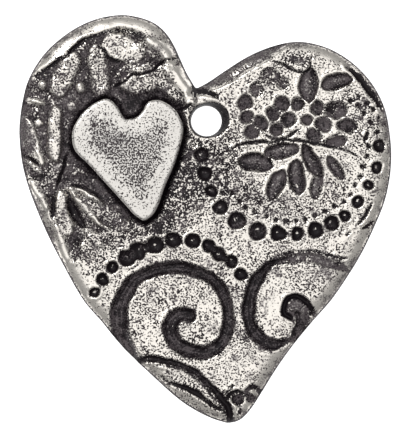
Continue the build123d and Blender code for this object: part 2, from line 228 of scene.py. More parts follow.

# Soft patches of heavier or lighter patina; some of them, with their film, are painted shade and painted
# highlight along the rim and over the relief: x, y, width, height, patina, and where they have them film,
# angle in degrees and grain
PATINA_AND_SHADE_PATCHES = [(-1.1, -4.5, 2.4, 4.8, 0.9, 0, -15, 0.3), (-4.4, -9.6, 4.0, 1.5, 0.8, 0, 0, 0.3),
           (1.5, -5.0, 2.4, 3.5, 0.45, 0.1, 0, 0.2), (3.6, -6.0, 2.6, 1.6, 0.5, 0.1, -20, 0.2),
           (6.6, -7.2, 3.4, 1.5, 0.55, 0.1, 0, 0.2), (0.5, -9.0, 3.5, 1.6, -0.1, 0.1, 0, 0.2),
           (2.6, -1.8, 1.6, 1.6, 0.2, 0.2, 0, 0.1), (5.3, 3.4, 2.2, 1.5, 0.1, 0.1, 20, 0.1),
           (7.8, 5.3, 1.9, 0.9, 0.7, 0.2, -5, 0.1), (13.6, 0.4, 2.2, 2.4, 0.2, 0.2, 0, 0.2),
           (2.7, -16.5, 1.0, 5.0, 0, 0.2, 0, 0.1), (-2.4, -22.6, 5.0, 1.5, 0.2, 0.2, -32, 0.1),
           (2.8, -21.6, 3.0, 2.3, -0.5, 0.2, 0, -0.05), (6.3, -16.0, 2.0, 3.0, -0.65, 0.15, 0, -0.05),
           (9.0, -13.2, 4.0, 1.6, -0.05, 0.4, -10), (11.6, -14.0, 1.2, 3.0, -0.1, 0.2, -40),
           (12.3, -10.6, 3.0, 1.6, -0.2, 0, 40, -0.1), (3.6, 4.6, 3.0, 0.9, -0.35, 0, 30),
           (7.2, -20.3, 1.2, 4.0, -0.2, 0.4, -32), (-10.9, -12.4, 1.0, 2.4, -0.6, -0.3, 30, -0.1),
           (-4.2, -18.9, 2.0, 1.6, -0.3, 0, -30), (13.3, -6.5, 1.4, 5.0, -0.25, 0, -20),
           (-8.8, -10.3, 4.0, 1.6, 0.65, 0.1, -15, 0.1), (-4.6, -15.7, 2.4, 2.4, 0.35, 0, 0, 0.1),
           (-0.2, -15.8, 1.8, 2.4, -0.25), (7.1, -18.2, 1.2, 1.0, 0.5),
           (12.0, 1.8, 2.0, 1.4, 0.3, 0, 0, 0.2), (-6.4, 8.2, 3.0, 0.9, -0.6, -0.8),
           (7.2, -10.8, 2.4, 0.9, -0.35), (-11.0, 6.4, 2.0, 1.2, -0.2, -0.1, 40),
           (-2.8, 2.4, 1.3, 1.1, -0.5, -0.1, -30), (-7.2, 3.9, 1.2, 1.2, 0.3),
           (-11.2, -9.6, 1.2, 1.8, -0.4, -0.1, 20), (-13.0, -9.8, 0.8, 1.8, 0.8, 0.3, 25),
           (-12.4, -6.0, 1.8, 1.1, -0.55, -0.1), (-5.2, -20.0, 1.2, 0.8, 0.35, 0, -20),
           (3.0, -18.2, 1.3, 1.6, 0.3), (-3.1, -6.3, 0.9, 1.5, 0.5, 0, -20, 0.1),
           (-9.9, -15.8, 1.0, 5.0, -0.1, -0.6, 36), (-1.4, -24.1, 1.0, 4.5, -0.1, -0.5, 57),
           (10.5, 6.0, 3.5, 1.0, 0, -0.3, -25), (10.6, -15.2, 1.2, 2.6, -0.3, 0, -40),
           (-4.8, 4.3, 1.3, 0.8, 0.6, 0.1, 20), (0.9, -17.8, 1.0, 2.0, 0.25),
           (9.2, 2.0, 1.4, 0.9, -0.4, -0.1), (-10.6, -11.7, 1.0, 1.1, 0.8, 0.3, 30),
           (5.8, -13.2, 1.6, 1.3, -0.25), (-6.6, -12.3, 2.6, 0.6, -0.35, 0, 25),
           (-4.3, 6.6, 1.4, 0.8, -0.5, -0.1, -35), (-13.1, -4.8, 0.9, 1.8, -0.5, -0.1),
           (-15.1, -6.0, 0.7, 1.6, 0.5, 0.1, 30), (2.9, 2.2, 0.9, 1.6, -0.35),
           (8.6, 4.6, 0.8, 0.7, 0.4, 0.1), (-7.2, 7.6, 1.8, 0.6, -0.3)]


# ---- curves and fields on the grid ----

def smooth_line(points):
    """Points close together along a smooth curve through the given ones."""
    p = np.array(points, float)
    p = np.vstack([2 * p[0] - p[1], p, 2 * p[-1] - p[-2]])
    pieces = []
    for a, b, c, d in zip(p, p[1:], p[2:], p[3:]):
        count = max(2, int(np.linalg.norm(c - b) / LINE_STEP))
        t = np.linspace(0, 1, count, endpoint=False)[:, None]
        pieces.append(b + 0.5 * t * (c - a + t * (2 * a - 5 * b + 4 * c - d + t * (3 * b - a - 3 * c + d))))
    return np.vstack(pieces + [p[-2:-1]])


def even_loop(points, spacing):
    """A closed loop through the given points with even steps."""
    loop = np.vstack([points, points[:1]])
    along = np.concatenate([[0], np.cumsum(np.linalg.norm(np.diff(loop, axis=0), axis=1))])
    steps = np.linspace(0, along[-1], int(along[-1] / spacing), endpoint=False)
    return np.column_stack([np.interp(steps, along, loop[:, i]) for i in (0, 1)])


def heart_outline(left, right, spacing, softening=3):
    """A closed outline, anticlockwise, with its corners a little softened."""
    loop = even_loop(np.vstack([smooth_line(left)[:-1], smooth_line(right)[:-1]]), spacing)
    for _ in range(softening):
        loop = (np.roll(loop, 1, 0) + 2 * loop + np.roll(loop, -1, 0)) / 4
    return loop


def ramp(value, low, high):
    """0 at low and 1 at high, smoothly; low may be the larger."""
    t = np.clip((value - low) / (high - low), 0, 1)
    return t * t * (3 - 2 * t)


def blur(field, sigma):
    """The field averaged over a soft round patch of this size."""
    fy = np.fft.fftfreq(field.shape[0], GRID)[:, None]
    fx = np.fft.fftfreq(field.shape[1], GRID)[None, :]
    weight = np.exp(-2 * (math.pi * sigma) ** 2 * (fx ** 2 + fy ** 2))
    return np.real(np.fft.ifft2(np.fft.fft2(field) * weight))


def mottle(size):
    """Random soft unevenness of this grain, with a spread of 1."""
    field = blur(RNG.standard_normal(X.shape), size)
    return field / field.std()


def sample(field, x, y):
    """Values of a grid field at any points."""
    column = np.clip((x - GRID_X[0]) / GRID, 0, len(GRID_X) - 1.001)
    row = np.clip((y - GRID_Y[0]) / GRID, 0, len(GRID_Y) - 1.001)
    i, j = column.astype(int), row.astype(int)
    u, v = column - i, row - j
    low = field[j, i] * (1 - u) + field[j, i + 1] * u
    high = field[j + 1, i] * (1 - u) + field[j + 1, i + 1] * u
    return low * (1 - v) + high * v


def inside_loop(x, y, loop):
    """Which points lie inside a closed loop."""
    inside = np.zeros(np.shape(x), bool)
    for (x0, y0), (x1, y1) in zip(loop, np.roll(loop, -1, 0)):
        if y0 != y1:
            crosses = (y0 > y) != (y1 > y)
            inside ^= crosses & (x < x0 + (y - y0) * (x1 - x0) / (y1 - y0))
    return inside


def edge_distance(loop):
    """Distance from every grid point to a closed loop, positive inside it."""
    tree = kdtree.KDTree(len(loop))
    for i, (x, y) in enumerate(loop):
        tree.insert((x, y, 0), i)
    tree.balance()
    far = np.array([tree.find((x, y, 0))[2] for x, y in zip(X.ravel(), Y.ravel())]).reshape(X.shape)
    return np.where(inside_loop(X, Y, loop), far, -far)


def window(x0, y0, x1, y1):
    """The part of the grid between two corners."""
    columns = slice(*np.searchsorted(GRID_X, (x0, x1)))
    rows = slice(*np.searchsorted(GRID_Y, (y0, y1)))
    return rows, columns


class Relief:
    """Heights above the face, the cuts into it, their lips, the patina, the film, how grainy the patina is
    and where it is sheltered from wear, all on the grid. Every mark is drawn through a slight random shift,
    so that none of it is quite regular."""

    def __init__(self, patina, film):
        self.x = X + WAVER * (mottle(0.45) + 0.5 * mottle(0.15))
        self.y = Y + WAVER * (mottle(0.45) + 0.5 * mottle(0.15))
        self.level = np.zeros(X.shape)
        self.cut = np.zeros(X.shape)
        self.lip = np.zeros(X.shape)
        self.patina = np.full(X.shape, float(patina))
        self.film = np.full(X.shape, float(film))
        self.grain = np.full(X.shape, 0.1)
        self.sheltered = np.zeros(X.shape)

    def stroke(self, points, width, ends):
        """For the grid near a curved brush stroke: its window, the distance outside its edge, and the
        distance across over the half width. The width is one number, or several along the stroke. The ends
        are round, pointed like a leaf, fuller like an oval, or fade away."""
        line = smooth_line(points)
        widths = np.atleast_1d(width)
        margin = widths.max() / 2 + 1
        box = window(*(line.min(0) - margin), *(line.max(0) + margin))
        x, y = self.x[box], self.y[box]
        nearest, share, side = np.full(x.shape, 1e9), np.zeros(x.shape), np.zeros(x.shape)
        for i, (a, b) in enumerate(zip(line[:-1], line[1:])):
            step = b - a
            t = np.clip(((x - a[0]) * step[0] + (y - a[1]) * step[1]) / (step @ step), 0, 1)
            dx, dy = x - a[0] - t * step[0], y - a[1] - t * step[1]
            far = np.hypot(dx, dy)
            closer = far < nearest
            nearest = np.where(closer, far, nearest)
            share = np.where(closer, (i + t) / (len(line) - 1), share)
            side = np.where(closer, np.sign(step[0] * dy - step[1] * dx), side)
        half = np.interp(share, np.linspace(0, 1, len(widths)), widths) / 2
        if ends == "leaf":
            half = half * np.sqrt(np.clip(4 * share * (1 - share), 0.01, 1))
        if ends == "oval":
            half = half * np.sqrt(np.clip(1 - (2 * share - 1) ** 4, 0.02, 1))
        if ends == "fade":
            half = half * np.clip(np.minimum(4 * share, 4 * (1 - share)), 0.2, 1)
        return box, nearest - half, side * nearest / half

    def darken(self, box, mask, patina, film=None):
        """Lays patina, and film, where the mask says."""
        self.patina[box] = self.patina[box] * (1 - mask) + patina * mask
        if film is not None:
            self.film[box] = self.film[box] * (1 - mask) + film * mask

    def press(self, points, width, depth, patina=1.7, ends="round", wall=0.3, lip=0.05, film=0.2, halo=0.0,
              ribs=(), rib=0.1, rib_width=0.08, soft=0.1):
        """A pressed line, channel or leaf, hollow in the middle. The floor may have ribs along it, and the
        patina may fade out around it."""
        box, out, across = self.stroke(points, width, ends)
        floor = ramp(out, 0.03, -wall)
        ridge = sum((np.exp(-((across - at) / rib_width) ** 2) * floor for at in ribs), np.zeros(out.shape))
        bed = depth * floor * (1.1 - 0.25 * np.clip(np.abs(across), 0, 1) ** 2) - rib * ridge
        self.cut[box] = np.maximum(self.cut[box], bed)
        self.lip[box] = np.maximum(self.lip[box], lip * np.exp(-((out - 0.12) / 0.13) ** 2))
        self.patina[box] += halo * np.exp(-(np.clip(out, 0, None) / 0.45) ** 2)
        self.darken(box, ramp(out, soft, -soft), patina, film)
        self.patina[box] -= 0.65 * ridge
        self.film[box] += 0.5 * ridge - 0.6 * np.exp(-((out + 0.12) / 0.12) ** 2)

    def swell(self, points, width, height, patina, film=None, ends="leaf"):
        """A raised leaf, stem or ridge that rounds off to both sides."""
        box, out, across = self.stroke(points, width, ends)
        crown = np.sqrt(np.clip(1 - across ** 2, 0, 1))
        self.level[box] += height * crown * ramp(out, 0.05, -0.35)
        self.darken(box, 0.9 * ramp(out, 0.25, -0.35), patina, film)

    def pit(self, x, y, radius, depth=0.45, patina=1.8, squash=1.0, angle=0.0, lip=0.06, film=0.3,
            painted_glint=0.0):
        """A round or oval punch mark with a dished floor and a slight lip, and perhaps a bare spot near its
        bottom that is a painted highlight."""
        reach = radius * max(1, squash) + 0.5
        box = window(x - reach, y - reach, x + reach, y + reach)
        turn = math.radians(angle)
        dx, dy = self.x[box] - x, self.y[box] - y
        u = (dx * math.cos(turn) + dy * math.sin(turn)) / squash
        v = -dx * math.sin(turn) + dy * math.cos(turn)
        far = np.hypot(u, v)
        bowl = depth * np.clip(1 - (far / radius) ** 2, 0, 1) ** 0.7
        self.cut[box] = np.maximum(self.cut[box], bowl)
        self.lip[box] = np.maximum(self.lip[box], lip * np.exp(-((far - radius - 0.12) / 0.12) ** 2))
        self.darken(box, ramp(far, radius + 0.06, radius - 0.12), patina, film)
        self.film[box] -= 0.6 * np.exp(-((far - radius + 0.12) / 0.12) ** 2)
        # painted highlight: the patina is cleared from a small spot near the bottom of the bowl
        self.darken(box, painted_glint * ramp(np.hypot(u + 0.05, v - 0.08), 0.21, 0.08), -1.2, 0.0)

    def bead(self, x, y, radius, height, patina):
        """A raised berry."""
        box = window(x - radius - 0.4, y - radius - 0.4, x + radius + 0.4, y + radius + 0.4)
        far = np.hypot(self.x[box] - x, self.y[box] - y)
        dome = height * np.sqrt(np.clip(1 - (far / radius) ** 2, 0, 1))
        self.level[box] += dome
        self.darken(box, ramp(far, radius * 1.4, radius * 1.05), 1.3)
        self.darken(box, ramp(far, radius * 1.05, radius * 0.75), patina)

    def shade(self, x, y, width, height, patina=0, film=0, angle=0, grain=0):
        """A soft oval patch that adds patina, film or grain; some are painted shade and painted highlights.
        """
        turn = math.radians(angle)
        u = ((X - x) * math.cos(turn) + (Y - y) * math.sin(turn)) / width
        v = (-(X - x) * math.sin(turn) + (Y - y) * math.cos(turn)) / height
        spot = np.exp(-(u ** 2 + v ** 2) * 2)
        self.patina += patina * spot
        self.film += film * spot
        self.grain += grain * spot

    def height(self):
        """Height above the face."""
        return self.level - self.cut + self.lip


# ---- the pendant's relief ----

def foliage(relief):
    """The sunken field of leaves and berries on the left lobe, round the little heart."""
    edge = edge_distance(even_loop(smooth_line(LEAFY_FIELD + LEAFY_FIELD[:1]), FIELD_STEP))
    sunk = ramp(edge, -0.25, 0.45)
    relief.sheltered = sunk
    relief.level -= FIELD_DEPTH * sunk
    relief.darken(EVERYWHERE, 0.85 * sunk, 1.2, 0.75)
    relief.patina += 0.3 * sunk * mottle(0.3)
    relief.level += 0.03 * sunk * mottle(0.22)
    for berry in BERRIES:
        relief.bead(*berry)
    for leaf in FIELD_LEAVES:
        relief.swell(*leaf)
    for crease in FIELD_CREASES:
        relief.press(*crease)


def moat(relief, little):
    """The dark groove that the little heart stands in. The face dips to its seat under it."""
    edge = edge_distance(little)
    seat = ramp(edge, -0.5, -0.02)
    relief.cut = np.maximum(relief.cut, seat * (SEAT_DEPTH + relief.level + 0.02))
    relief.darken(EVERYWHERE, ramp(edge, -0.55, -0.2), 1.5, 0.4)
    relief.patina += 0.75 * ramp(edge, -1.9, -0.4)
    relief.shade(-6.4, 1.3, 0.95, 1.0, patina=1.0)
    relief.shade(-3.6, -8.0, 1.4, 1.8, patina=0.5)


def right_lobe(relief):
    """Flowers, a sprig, a vine, a ring of punch marks, and the hollow along the edge by the cleft."""
    for x, y, radius in PAISLEY_RING:
        # each punch mark has a painted highlight near its bottom
        relief.pit(x, y, radius, painted_glint=0.95)
        relief.shade(x + 0.1, y - 0.1, radius + 0.5, radius + 0.5, patina=0.25, film=0.2)
    for x, y, radius in FLOWER_PETALS:
        relief.pit(x, y, radius + 0.04, 0.33, 1.1, lip=0.045, film=0.9)
    for x, y, radius, squash, angle in WIDE_PETALS:
        relief.pit(x, y, radius + 0.04, 0.33, 1.1, squash=squash, angle=angle, lip=0.045, film=0.9)
    for x, y, radius in FAINT_PETALS:
        relief.pit(x, y, radius, 0.2, 0.7, lip=0.02, film=0.6)
    for x, y in INNER_DOTS:
        relief.pit(x, y, 0.22, 0.18, 1.4, lip=0.0, film=0.5)
    for x, y, length, width, angle, depth in SPRIG:
        dx, dy = length * math.cos(math.radians(angle)), length * math.sin(math.radians(angle))
        bow = 0.12 * np.array([-dy, dx]) / length
        relief.press([(x - dx, y - dy), (x + bow[0], y + bow[1]), (x + dx, y + dy)], 2 * width, depth,
                     0.85 + depth, ends="leaf", lip=0.07, film=0.75, ribs=(0.1,), rib=0.08, rib_width=0.3)
        # painted highlight: a short bright streak in the far part of each leaf
        relief.shade(x + 0.3 * dx, y + 0.3 * dy - 0.15, 0.4, 0.12, patina=-0.6, angle=angle)
    relief.press(VINE, 0.22, 0.2, 1.8, ends="fade", wall=0.1, film=0.0)
    for crease in LOBE_CREASES:
        relief.press(*crease)
    relief.press([(-1.6, 2.2), (0.2, 3.2), (2.2, 4.35), (4.2, 5.5), (6.8, 6.5)], 1.9, 0.2, 0.1, ends="leaf",
                 wall=0.4, lip=0.06, film=0.5, soft=0.3)
    relief.shade(1.8, 3.3, 1.2, 0.7, patina=0.5, angle=30)


def scrolls(relief):
    """The two scrolls and the row of beads over the left one."""
    for x, y, radius in BEAD_ROW:
        # each bead has a fainter painted highlight near its bottom
        relief.pit(x, y, radius, 0.5, 1.9, film=0.1, painted_glint=0.6)
    for x, y, radius in MERGED_BEADS:
        relief.pit(x, y, radius, 0.4, 1.7, lip=0.0)
    relief.press(LEFT_SCROLL, (1.5, 1.6, 1.15, 1.1, 1.1, 1.15, 1.35, 1.3), 0.5, wall=0.4, lip=0.04,
                 film=0.65, halo=0.45, ribs=(-0.25, 0.2, 0.6), rib=0.12)
    relief.press(RIGHT_SCROLL_TOP, 1.3, 0.2, 0.55, ends="fade", wall=0.5, lip=0.0, film=0.9, halo=0.2,
                 soft=0.45)
    relief.press(RIGHT_SCROLL_EDGE, 0.16, 0.12, 1.3, ends="fade", wall=0.1, lip=0.03)
    relief.press(RIGHT_SCROLL, 1.2, 0.45, ends="fade", wall=0.35, lip=0.04, film=0.65, halo=0.6,
                 ribs=(-0.2, 0.35), soft=0.15)
    relief.press([(11.0, -11.55), (11.6, -11.8), (12.1, -11.75)], 0.2, 0.12, 1.6, ends="leaf", wall=0.1)
    relief.swell([(3.4, -19.3), (4.4, -19.9), (5.5, -20.15), (6.8, -19.8), (8.3, -18.5)], 0.25, 0.1, -0.6,
                 film=0.0)
    relief.swell([(-3.0, -20.4), (-1.0, -20.95), (1.0, -20.7), (2.6, -19.5)], 0.25, 0.06, -0.4, film=0.0)
    scroll_eye(relief)


def scroll_eye(relief):
    """The right scroll's inner end: a dark hook round a grey island, and a neck that runs over the edge."""
    relief.pit(*SCROLL_EYE, 0.3, 1.25, film=1.0)
    relief.press([(8.55, -16.3), (8.55, -17.0), (8.2, -17.6), (7.7, -18.4), (7.2, -19.0)], 1.0, 0.3, 1.3,
                 ends="oval", film=0.9)
    relief.press([(7.25, -17.0), (6.8, -16.6), (6.7, -15.95), (7.0, -15.35), (7.65, -15.12), (8.35, -15.35),
                  (8.9, -15.95), (9.15, -16.6)], 0.55, 0.45, 1.9, wall=0.2, film=0.25)
    relief.swell([(7.25, -16.3), (7.7, -15.95), (8.2, -16.25), (8.35, -16.9)], 0.9, 0.15, 0.9, film=1.3)
    relief.press([(7.75, -16.55), (7.85, -16.9), (7.7, -17.5), (7.45, -18.2)], 0.5, 0.4, 1.9, wall=0.15,
                 film=0.3, ribs=(0.0,), rib_width=0.25)
    # painted highlight: a small bright spot below the island
    relief.shade(7.5, -16.95, 0.3, 0.2, patina=-1.3)
    relief.swell([(8.75, -17.4), (8.0, -18.3), (7.2, -19.3)], 0.3, 0.12, -0.4, film=0.0)


def foot(relief):
    """The long leaf at the foot, and the pits, arches, nicks and bright drops in the point."""
    relief.press(FOOT_LEAF_EDGE, 0.6, 0.35, 1.6, wall=0.2, film=0.5, halo=0.3)
    relief.press(FOOT_LEAF_LINE, 0.2, 0.15, 1.5, ends="fade", wall=0.1, film=0.4)
    relief.press(FOOT_LEAF_VEIN, 0.45, 0.25, 1.6, ends="leaf", wall=0.12, halo=0.3)
    relief.shade(2.8, -24.5, 1.0, 0.7, patina=0.3)
    relief.pit(2.65, -23.8, 0.62, 0.4, 1.35, film=0.9)
    relief.pit(3.75, -23.8, 0.5, 0.35, 1.2, film=1.0)
    relief.press([(1.65, -23.75), (2.0, -23.35), (2.45, -23.15), (2.9, -23.15), (3.2, -23.5)], 0.3, 0.3,
                 1.8, wall=0.1, film=0.4)
    relief.press([(3.35, -23.5), (3.6, -23.1), (4.0, -22.9), (4.4, -23.05), (4.6, -23.35)], 0.5, 0.2, 1.35,
                 wall=0.1, film=0.8)
    relief.press([(2.35, -24.3), (2.8, -24.5), (3.15, -24.25)], 0.16, 0.15, 1.8, ends="leaf", wall=0.08)
    for x, y in FOOT_NICKS:
        relief.press([(x - 0.15, y - 0.12), (x + 0.15, y + 0.12)], 0.17, 0.12, ends="leaf", wall=0.08)
    relief.press([(1.65, -23.75), (1.95, -24.6), (2.3, -25.7)], 0.32, 0.25, 1.8, ends="fade", wall=0.1)
    relief.swell([(2.25, -24.2), (2.4, -24.6), (2.55, -25.2)], 0.5, 0.2, -0.8, film=0.0)
    relief.swell([(3.05, -24.8), (3.25, -24.3)], 0.35, 0.12, -0.8, film=0.0)
    relief.pit(2.8, -24.95, 0.22, 0.3, 1.9, squash=1.7, angle=75, lip=0.0)


def above_hole(relief):
    """The crevice and the bright lip over the hanging hole."""
    relief.press([(-1.2, 3.0), (-1.05, 2.4), (-1.0, 1.8)], 0.5, 0.2, 1.6, ends="leaf", wall=0.15, lip=0.0)
    relief.press([(-1.1, 2.35), (-0.3, 2.4), (0.4, 2.25), (1.0, 1.95)], 0.5, 0.24, 1.6, ends="leaf",
                 wall=0.12)
    relief.swell([(-0.9, 1.75), (0.0, 1.9), (0.9, 1.6)], 0.35, 0.15, -0.5)


def wear(relief, distance):
    """Patina stays in whatever lies low, and is rubbed off whatever stands proud and off the outer edge."""
    height = relief.height()
    hollow = np.clip(blur(height, 0.35) - height, -0.08, 0.12) / 0.1  # against its close surroundings
    broad = np.clip(blur(height, 1.0) - height, -0.2, 0.3) / 0.25  # against its wider surroundings
    relief.patina += 0.45 * hollow + 0.3 * broad
    rubbed = ramp(distance, 1.3, 0.6) * ramp(relief.cut, 0.15, 0.02)
    relief.patina -= rubbed * (0.7 - 0.6 * relief.sheltered)
    # painted shade: the metal is greyed over the outer 0.8 mm, where the rim turns away from the lights
    relief.film += 0.75 * ramp(distance, 0.8, 0.0)


def pendant_relief(little):
    """The pendant's whole face, with its outline and every grid point's distance inside that."""
    relief = Relief(0.27, 0.1)
    outline = heart_outline(LEFT_SIDE, RIGHT_SIDE, BODY_STEP)
    distance = edge_distance(outline)
    foliage(relief)
    # patches of patina, and of painted shade and painted highlight
    for patch in PATINA_AND_SHADE_PATCHES:
        relief.shade(*patch)
    moat(relief, little)
    right_lobe(relief)
    scrolls(relief)
    foot(relief)
    above_hole(relief)
    wear(relief, distance)

    # the casting's unevenness, then mottled patina and film, stronger on the floors of the cuts
    relief.level += 0.035 * mottle(1.6) + 0.012 * mottle(0.4) + 0.006 * mottle(0.12)
    relief.patina += 0.12 * mottle(0.7) + relief.grain * mottle(0.11)
    relief.film += 0.25 * mottle(0.18)
    floors = ramp(relief.cut, 0.05, 0.2)
    relief.patina += 0.15 * floors * mottle(0.16)
    relief.film += 0.3 * floors * mottle(0.16)
    return relief, outline, distance


def little_relief(outline):
    """The little heart is worn smooth, bright along its edges and speckled in the middle."""
    relief = Relief(-0.5, 0.1)
    distance = edge_distance(outline)
    relief.darken(EVERYWHERE, ramp(distance, 0.4, 2.0), 0.42, 0.3)
    relief.shade(-9.7, 0.2, 0.5, 1.2, patina=0.6, film=0.3)
    relief.shade(-7.6, -1.5, 2.5, 1.8, patina=0.2, film=0.35)
    relief.shade(-5.6, -5.0, 1.6, 1.4, patina=0.2)
    relief.shade(-5.4, -8.0, 1.2, 1.4, patina=-0.3)
    relief.level += 0.03 * mottle(1.2) + 0.008 * mottle(0.25) + 0.14 * ramp(distance, 0.0, 3.0)
    return relief, distance


# ---- meshes ----

def inward(loop):
    """Unit directions into an anticlockwise loop."""
    along = np.roll(loop, -1, 0) - np.roll(loop, 1, 0)
    along /= np.linalg.norm(along, axis=1)[:, None]
    return np.column_stack([-along[:, 1], along[:, 0]])


def whole_cells(corners):
    """Grid cells whose four corners are all wanted."""
    return corners[:-1, :-1] & corners[1:, :-1] & corners[:-1, 1:] & corners[1:, 1:]


def ragged_edge(keep, numbers):
    """Edges of the kept grid cells that have no kept cell beyond them, as pairs of point numbers."""
    beyond = np.pad(keep, 1)
    rows, columns = keep.shape
    low_left, low_right = numbers[:-1, :-1], numbers[:-1, 1:]
    high_left, high_right = numbers[1:, :-1], numbers[1:, 1:]
    edges = []
    for row, column, start, end in ((0, 1, low_left, low_right), (2, 1, high_left, high_right),
                                    (1, 0, low_left, high_left), (1, 2, low_right, high_right)):
        bare = keep & ~beyond[row:row + rows, column:column + columns]
        edges += list(zip(start[bare], end[bare]))
    return edges


class Shell:
    """Gathers points, with their two values, and faces of one closed mesh."""

    def __init__(self):
        self.points, self.values, self.faces = [], [], []
        self.count = 0

    def add(self, x, y, z, patina, film):
        """New points; returns their numbers."""
        x, y, z, patina, film = np.broadcast_arrays(x, y, z, patina, film)
        self.points.append(np.column_stack([x.ravel(), y.ravel(), z.ravel()]))
        self.values.append(np.column_stack([patina.ravel(), film.ravel()]))
        first, self.count = self.count, self.count + x.size
        return np.arange(first, self.count)

    def band(self, upper, lower):
        """Quads between two rings of the same length; upper is the one further in on the top side."""
        self.faces.append(np.column_stack([upper, lower, np.roll(lower, -1), np.roll(upper, -1)]))

    def sheet(self, keep, numbers, up=True):
        """Quads of the kept cells of a grid of point numbers."""
        a, b, c, d = numbers[:-1, :-1], numbers[:-1, 1:], numbers[1:, 1:], numbers[1:, :-1]
        quads = np.column_stack([k[keep] for k in (a, b, c, d)])
        self.faces.append(quads if up else quads[:, ::-1])

    def stitch(self, keep, numbers, rings, cell, up=True):
        """Triangles between the ragged edge of the kept cells and the rings round them."""
        points = np.vstack(self.points)
        edges = ragged_edge(keep, numbers)
        for ring in rings:
            edges += list(zip(ring, np.roll(ring, -1)))
        names = sorted({int(n) for edge in edges for n in edge})
        place = {n: i for i, n in enumerate(names)}
        flat = [Vector(points[n, :2]) for n in names]
        links = [(place[int(a)], place[int(b)]) for a, b in edges]
        out = geometry.delaunay_2d_cdt(flat, links, [], 0, 1e-6, True)
        triangles = np.array(out[2])
        origin = np.array([source[0] if source else -1 for source in out[3]])
        corners = np.array([tuple(v) for v in out[0]])
        middle = corners[triangles].mean(1)
        column = np.clip(((middle[:, 0] - GRID_X[0]) / cell).astype(int), 0, keep.shape[1] - 1)
        row = np.clip(((middle[:, 1] - GRID_Y[0]) / cell).astype(int), 0, keep.shape[0] - 1)
        wanted = ~keep[row, column] & inside_loop(middle[:, 0], middle[:, 1], points[rings[0], :2])
        for ring in rings[1:]:
            wanted &= ~inside_loop(middle[:, 0], middle[:, 1], points[ring, :2])
        found = np.array(names)[origin[triangles[wanted]]]
        self.faces.append(found if up else found[:, ::-1])

    def mesh(self, name):
        """The finished object, in metres."""
        points = np.vstack(self.points) * MM
        faces = [tuple(int(n) for n in face) for group in self.faces for face in group]
        mesh = bpy.data.meshes.new(name)
        mesh.from_pydata(points.tolist(), [], faces)
        values = np.vstack(self.values).astype(np.float32)
        for i, key in enumerate(("patina", "film")):
            attribute = mesh.attributes.new(key, "FLOAT", "POINT")
            attribute.data.foreach_set("value", np.ascontiguousarray(values[:, i]))
        mesh.polygons.foreach_set("use_smooth", np.ones(len(mesh.polygons), bool))
        mesh.update()
        made = bpy.data.objects.new(name, mesh)
        bpy.context.scene.collection.objects.link(made)
        drop_unused_points(made)
        return made


def drop_unused_points(obj):
    """Removes the grid points that no face uses."""
    work = bmesh.new()
    work.from_mesh(obj.data)
    bmesh.ops.delete(work, geom=[v for v in work.verts if not v.link_faces], context="VERTS")
    work.to_mesh(obj.data)
    work.free()


def rim_drop(distance, width, drop):
    """How far the rounded edge has fallen at this distance in from the outline."""
    t = np.clip(1 - distance / width, 0, 1)
    return drop * (1 - np.sqrt(1 - t ** 2))


def add_rim(shell, outline, relief, face, rim, painted_edge_shade):
    """Rings of points down the rounded rim, from the inside out, darker in a thin line of painted shade at
    its foot.
    """
    height = relief.height()
    rings = []
    for share in RIM_SHARES:
        inset = share * rim[0]
        p = outline + inward(outline) * inset
        z = face + sample(height, *p.T) - rim_drop(inset, *rim)
        # painted shade: darker within a quarter millimetre of the outline, where the rim turns down
        dark = sample(relief.patina, *p.T) + painted_edge_shade * ramp(inset, 0.24, 0.08)
        rings.append(shell.add(p[:, 0], p[:, 1], z, dark, sample(relief.film, *p.T)))
    return rings


def add_side(shell, outline, top, low, back_round, side, painted_edge_shade):
    """Rings of points down the side wall and round the edge of the back."""
    worn = side + 0.3 * sample(mottle(0.8), *outline.T)
    rings = []
    # the top ring of the side wall carries the same painted shade
    for share, dark in ((0.0, painted_edge_shade), (0.15, 0.3), (0.45, 0.0), (0.75, 0.0), (1.0, 0.3)):
        z = top + (low - top) * share
        rings.append(shell.add(outline[:, 0], outline[:, 1], z, worn + dark, 0.6))
    for turn in (30, 60, 90):
        inset = back_round * (1 - math.cos(math.radians(turn)))
        p = outline + inward(outline) * inset
        z = low - back_round * math.sin(math.radians(turn))
        rings.append(shell.add(p[:, 0], p[:, 1], z, worn + 0.2, 0.5))
    return rings


def hole_mouth(angle):
    """Radius of the worn mouth of the hole, wider to the right."""
    return HOLE_RADIUS + MOUTH_WEAR + MOUTH_FLARE * np.clip(np.cos(angle - MOUTH_TURN), 0, 1) ** 1.5


def hole_rings(mouth):
    """Radius, depth below the face and patina of each ring of the hole. Near the face the depth is below the
    relief, and the patina is added to the relief's. A depth of None is the underside."""
    yield mouth + 0.3, 0.0, -0.2
    yield mouth + 0.16, 0.02, -0.7
    yield mouth + 0.06, 0.07, 0.4
    yield mouth, 0.2, 2.2
    for share in (0.3, 0.6, 1.0):
        yield mouth + (HOLE_RADIUS - mouth) * share, 0.3 + 0.8 * share, 2.2
    yield HOLE_RADIUS, 1.6, 1.5
    yield HOLE_RADIUS, 2.2, 1.2
    yield HOLE_RADIUS + 0.12, None, 0.3


def add_hole(shell, relief, face):
    """Rings of points down the hanging hole."""
    height = relief.height()
    angle = np.linspace(0, 2 * math.pi, HOLE_POINTS, endpoint=False)
    rings = []
    for radius, depth, dark in hole_rings(hole_mouth(angle)):
        x, y = radius * np.cos(angle), radius * np.sin(angle)
        if depth is None:
            z = 0.0
        elif depth < 0.3:
            z = face + sample(height, x, y) - depth
            dark = sample(relief.patina, x, y) + dark
        else:
            z = face - depth
        rings.append(shell.add(x, y, z, dark, 0.1))
    return rings


